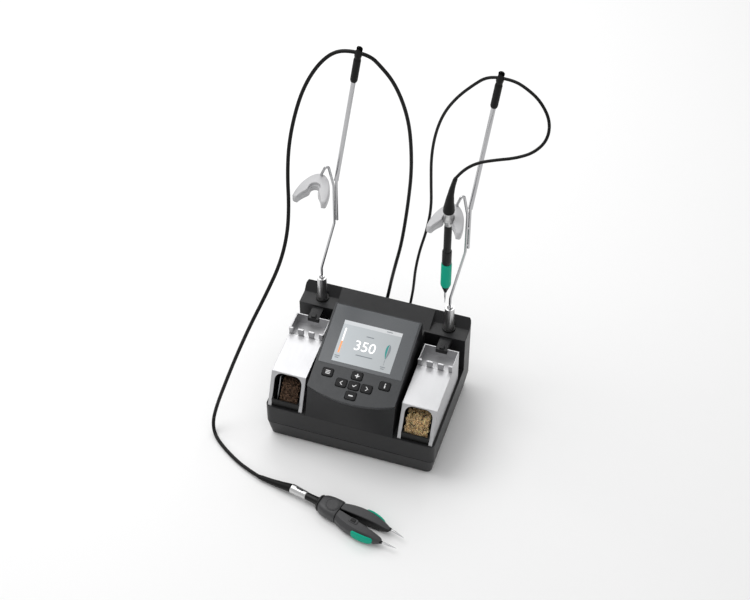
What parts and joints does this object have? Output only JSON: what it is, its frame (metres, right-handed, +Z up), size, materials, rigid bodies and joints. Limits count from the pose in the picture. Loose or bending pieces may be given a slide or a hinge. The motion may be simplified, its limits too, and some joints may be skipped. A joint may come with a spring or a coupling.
{
  "type": "soldering station",
  "caption": "Bench soldering and rework station with a tilted colour console, two tool stands, swivelling cord masts with rests, a hanging soldering handle and hot tweezers.",
  "frame": {"origin": "on the floor under the centre of the housing", "axes": "+Z up, -Y towards the user, +X to the right of the console"},
  "size_m": [0.3403, 0.322, 0.4737],
  "materials": {
    "housing_black": "fine-grained moulding",
    "panel_black": "satin powder coat",
    "trim_black": "satin",
    "cast_metal": "satin cast zinc",
    "bezel_grey": "satin",
    "keys": "satin",
    "window": "clear tinted",
    "screen": "lit screen face",
    "circuit_board": "solder mask",
    "transformer": "potted",
    "feet_rubber": "matt",
    "satin_steel": "fine satin",
    "bright_steel": "polished",
    "nickel": "nickel plate",
    "wool_brass": "curled swarf",
    "wool_used": "used swarf",
    "cord_black": "silicone",
    "grip_green": "soft foam rubber",
    "arm_black": "satin",
    "tip_metal": "plated tip"
  },
  "bodies": {
    "station": {"base_tray": "housing_black", "cartridge_extractors": "satin_steel", "case_screws": "nickel", "console_bezel": "bezel_grey", "display_window": "window", "earth_socket": "nickel", "key_board": "circuit_board", "lcd_module": "screen", "left_cord": "cord_black", "left_cord_plug": "cord_black", "main_board": "circuit_board", "mains_inlet": "trim_black", "mast_sockets": "nickel", "power_transformer": "transformer", "rear_panel": "panel_black", "right_cord_plug": "cord_black", "right_feed_cord": "cord_black", "right_lead_cord": "cord_black", "rubber_feet": "feet_rubber", "socket_grommets": "trim_black", "tool_sockets": "nickel", "tweezer_body": "trim_black", "tweezer_boot": "cord_black", "tweezer_collar": "nickel", "upper_housing": "housing_black"},
    "left_mast": {"left_mast_rod": "bright_steel", "left_mast_tube": "bright_steel", "left_mast_cap": "cord_black", "left_tool_rest": "cast_metal"},
    "right_mast": {"right_mast_rod": "bright_steel", "right_mast_tube": "bright_steel", "right_mast_cap": "cord_black", "right_tool_rest": "cast_metal"},
    "handle": {"handle_cartridge": "tip_metal", "handle_nose": "trim_black", "handle_grip": "grip_green", "handle_body": "trim_black", "handle_collar": "nickel", "handle_boot": "cord_black"},
    "left_cover": {"left_stand_cover": "satin_steel"},
    "right_cover": {"right_stand_cover": "satin_steel"},
    "left_tray": {"left_wool_tray": "trim_black", "left_brass_wool": "wool_used", "left_tip_wiper": "satin_steel"},
    "right_tray": {"right_wool_tray": "trim_black", "right_brass_wool": "wool_brass"},
    "rocker": {"power_rocker": "trim_black"},
    "near_arm": {"tweezer_near_arm": "arm_black", "tweezer_near_pad": "grip_green", "tweezer_near_tip": "tip_metal"},
    "far_arm": {"tweezer_far_arm": "arm_black", "tweezer_far_pad": "grip_green", "tweezer_far_tip": "tip_metal"},
    "key_menu_cap": {"key_menu": "keys"},
    "key_plus_cap": {"key_plus": "keys"},
    "key_back_cap": {"key_back": "keys"},
    "key_ok_cap": {"key_ok": "keys"},
    "key_next_cap": {"key_next": "keys"},
    "key_minus_cap": {"key_minus": "keys"},
    "key_info_cap": {"key_info": "keys"}
  },
  "joints": [
    {"name": "key_menu_press", "type": "slide", "parent": "station", "child": "key_menu_cap", "axis": [0, 0.295, -0.9555], "range_m": [0, 0.0008], "stiffness_N_per_m": 400, "springref_m": -0.001},
    {"name": "key_plus_press", "type": "slide", "parent": "station", "child": "key_plus_cap", "axis": [0, 0.295, -0.9555], "range_m": [0, 0.0008], "stiffness_N_per_m": 400, "springref_m": -0.001},
    {"name": "key_back_press", "type": "slide", "parent": "station", "child": "key_back_cap", "axis": [0, 0.295, -0.9555], "range_m": [0, 0.0008], "stiffness_N_per_m": 400, "springref_m": -0.001},
    {"name": "key_ok_press", "type": "slide", "parent": "station", "child": "key_ok_cap", "axis": [0, 0.295, -0.9555], "range_m": [0, 0.0008], "stiffness_N_per_m": 400, "springref_m": -0.001},
    {"name": "key_next_press", "type": "slide", "parent": "station", "child": "key_next_cap", "axis": [0, 0.295, -0.9555], "range_m": [0, 0.0008], "stiffness_N_per_m": 400, "springref_m": -0.001},
    {"name": "key_minus_press", "type": "slide", "parent": "station", "child": "key_minus_cap", "axis": [0, 0.295, -0.9555], "range_m": [0, 0.0008], "stiffness_N_per_m": 400, "springref_m": -0.001},
    {"name": "key_info_press", "type": "slide", "parent": "station", "child": "key_info_cap", "axis": [0, 0.295, -0.9555], "range_m": [0, 0.0008], "stiffness_N_per_m": 400, "springref_m": -0.001},
    {"name": "power_rocker_tip", "type": "hinge", "parent": "station", "child": "rocker", "pos_m": [-0.064, 0.0785, 0.057], "axis": [1, 0, 0], "range_deg": [-16, 0]},
    {"name": "left_mast_swivel", "type": "hinge", "parent": "station", "child": "left_mast", "pos_m": [-0.078, 0.0613, 0.12], "axis": [0, 0, 1], "range_deg": [-45, 45], "deforming": ["left_cord"]},
    {"name": "right_mast_swivel", "type": "hinge", "parent": "station", "child": "right_mast", "pos_m": [0.078, 0.0613, 0.12], "axis": [0, 0, 1], "range_deg": [-45, 45], "deforming": ["right_feed_cord", "right_lead_cord"]},
    {"name": "handle_lift", "type": "slide", "parent": "right_mast", "child": "handle", "axis": [0, -0.25, 0.9682], "range_m": [0, 0.1], "deforming": ["right_lead_cord"]},
    {"name": "left_cover_lift", "type": "slide", "parent": "station", "child": "left_cover", "axis": [0, 0, 1], "range_m": [0, 0.04]},
    {"name": "left_tray_pull", "type": "slide", "parent": "station", "child": "left_tray", "axis": [0, -1, 0], "range_m": [0, 0.045]},
    {"name": "right_cover_lift", "type": "slide", "parent": "station", "child": "right_cover", "axis": [0, 0, 1], "range_m": [0, 0.04]},
    {"name": "right_tray_pull", "type": "slide", "parent": "station", "child": "right_tray", "axis": [0, -1, 0], "range_m": [0, 0.045]},
    {"name": "near_arm_close", "type": "hinge", "parent": "station", "child": "near_arm", "pos_m": [0.01314, -0.1683, 0.009], "axis": [0, 0, 1], "range_deg": [0, 5.4], "stiffness_Nm_per_rad": 0.25, "springref_deg": -5.73},
    {"name": "far_arm_close", "type": "hinge", "parent": "station", "child": "far_arm", "pos_m": [0.01616, -0.15565, 0.009], "axis": [0, 0, 1], "range_deg": [-5.4, 0], "stiffness_Nm_per_rad": 0.25, "springref_deg": 5.73}
  ],
  "couplings": [
    {"joint": "far_arm_close", "follows": "near_arm_close", "ratio": -1}
  ]
}
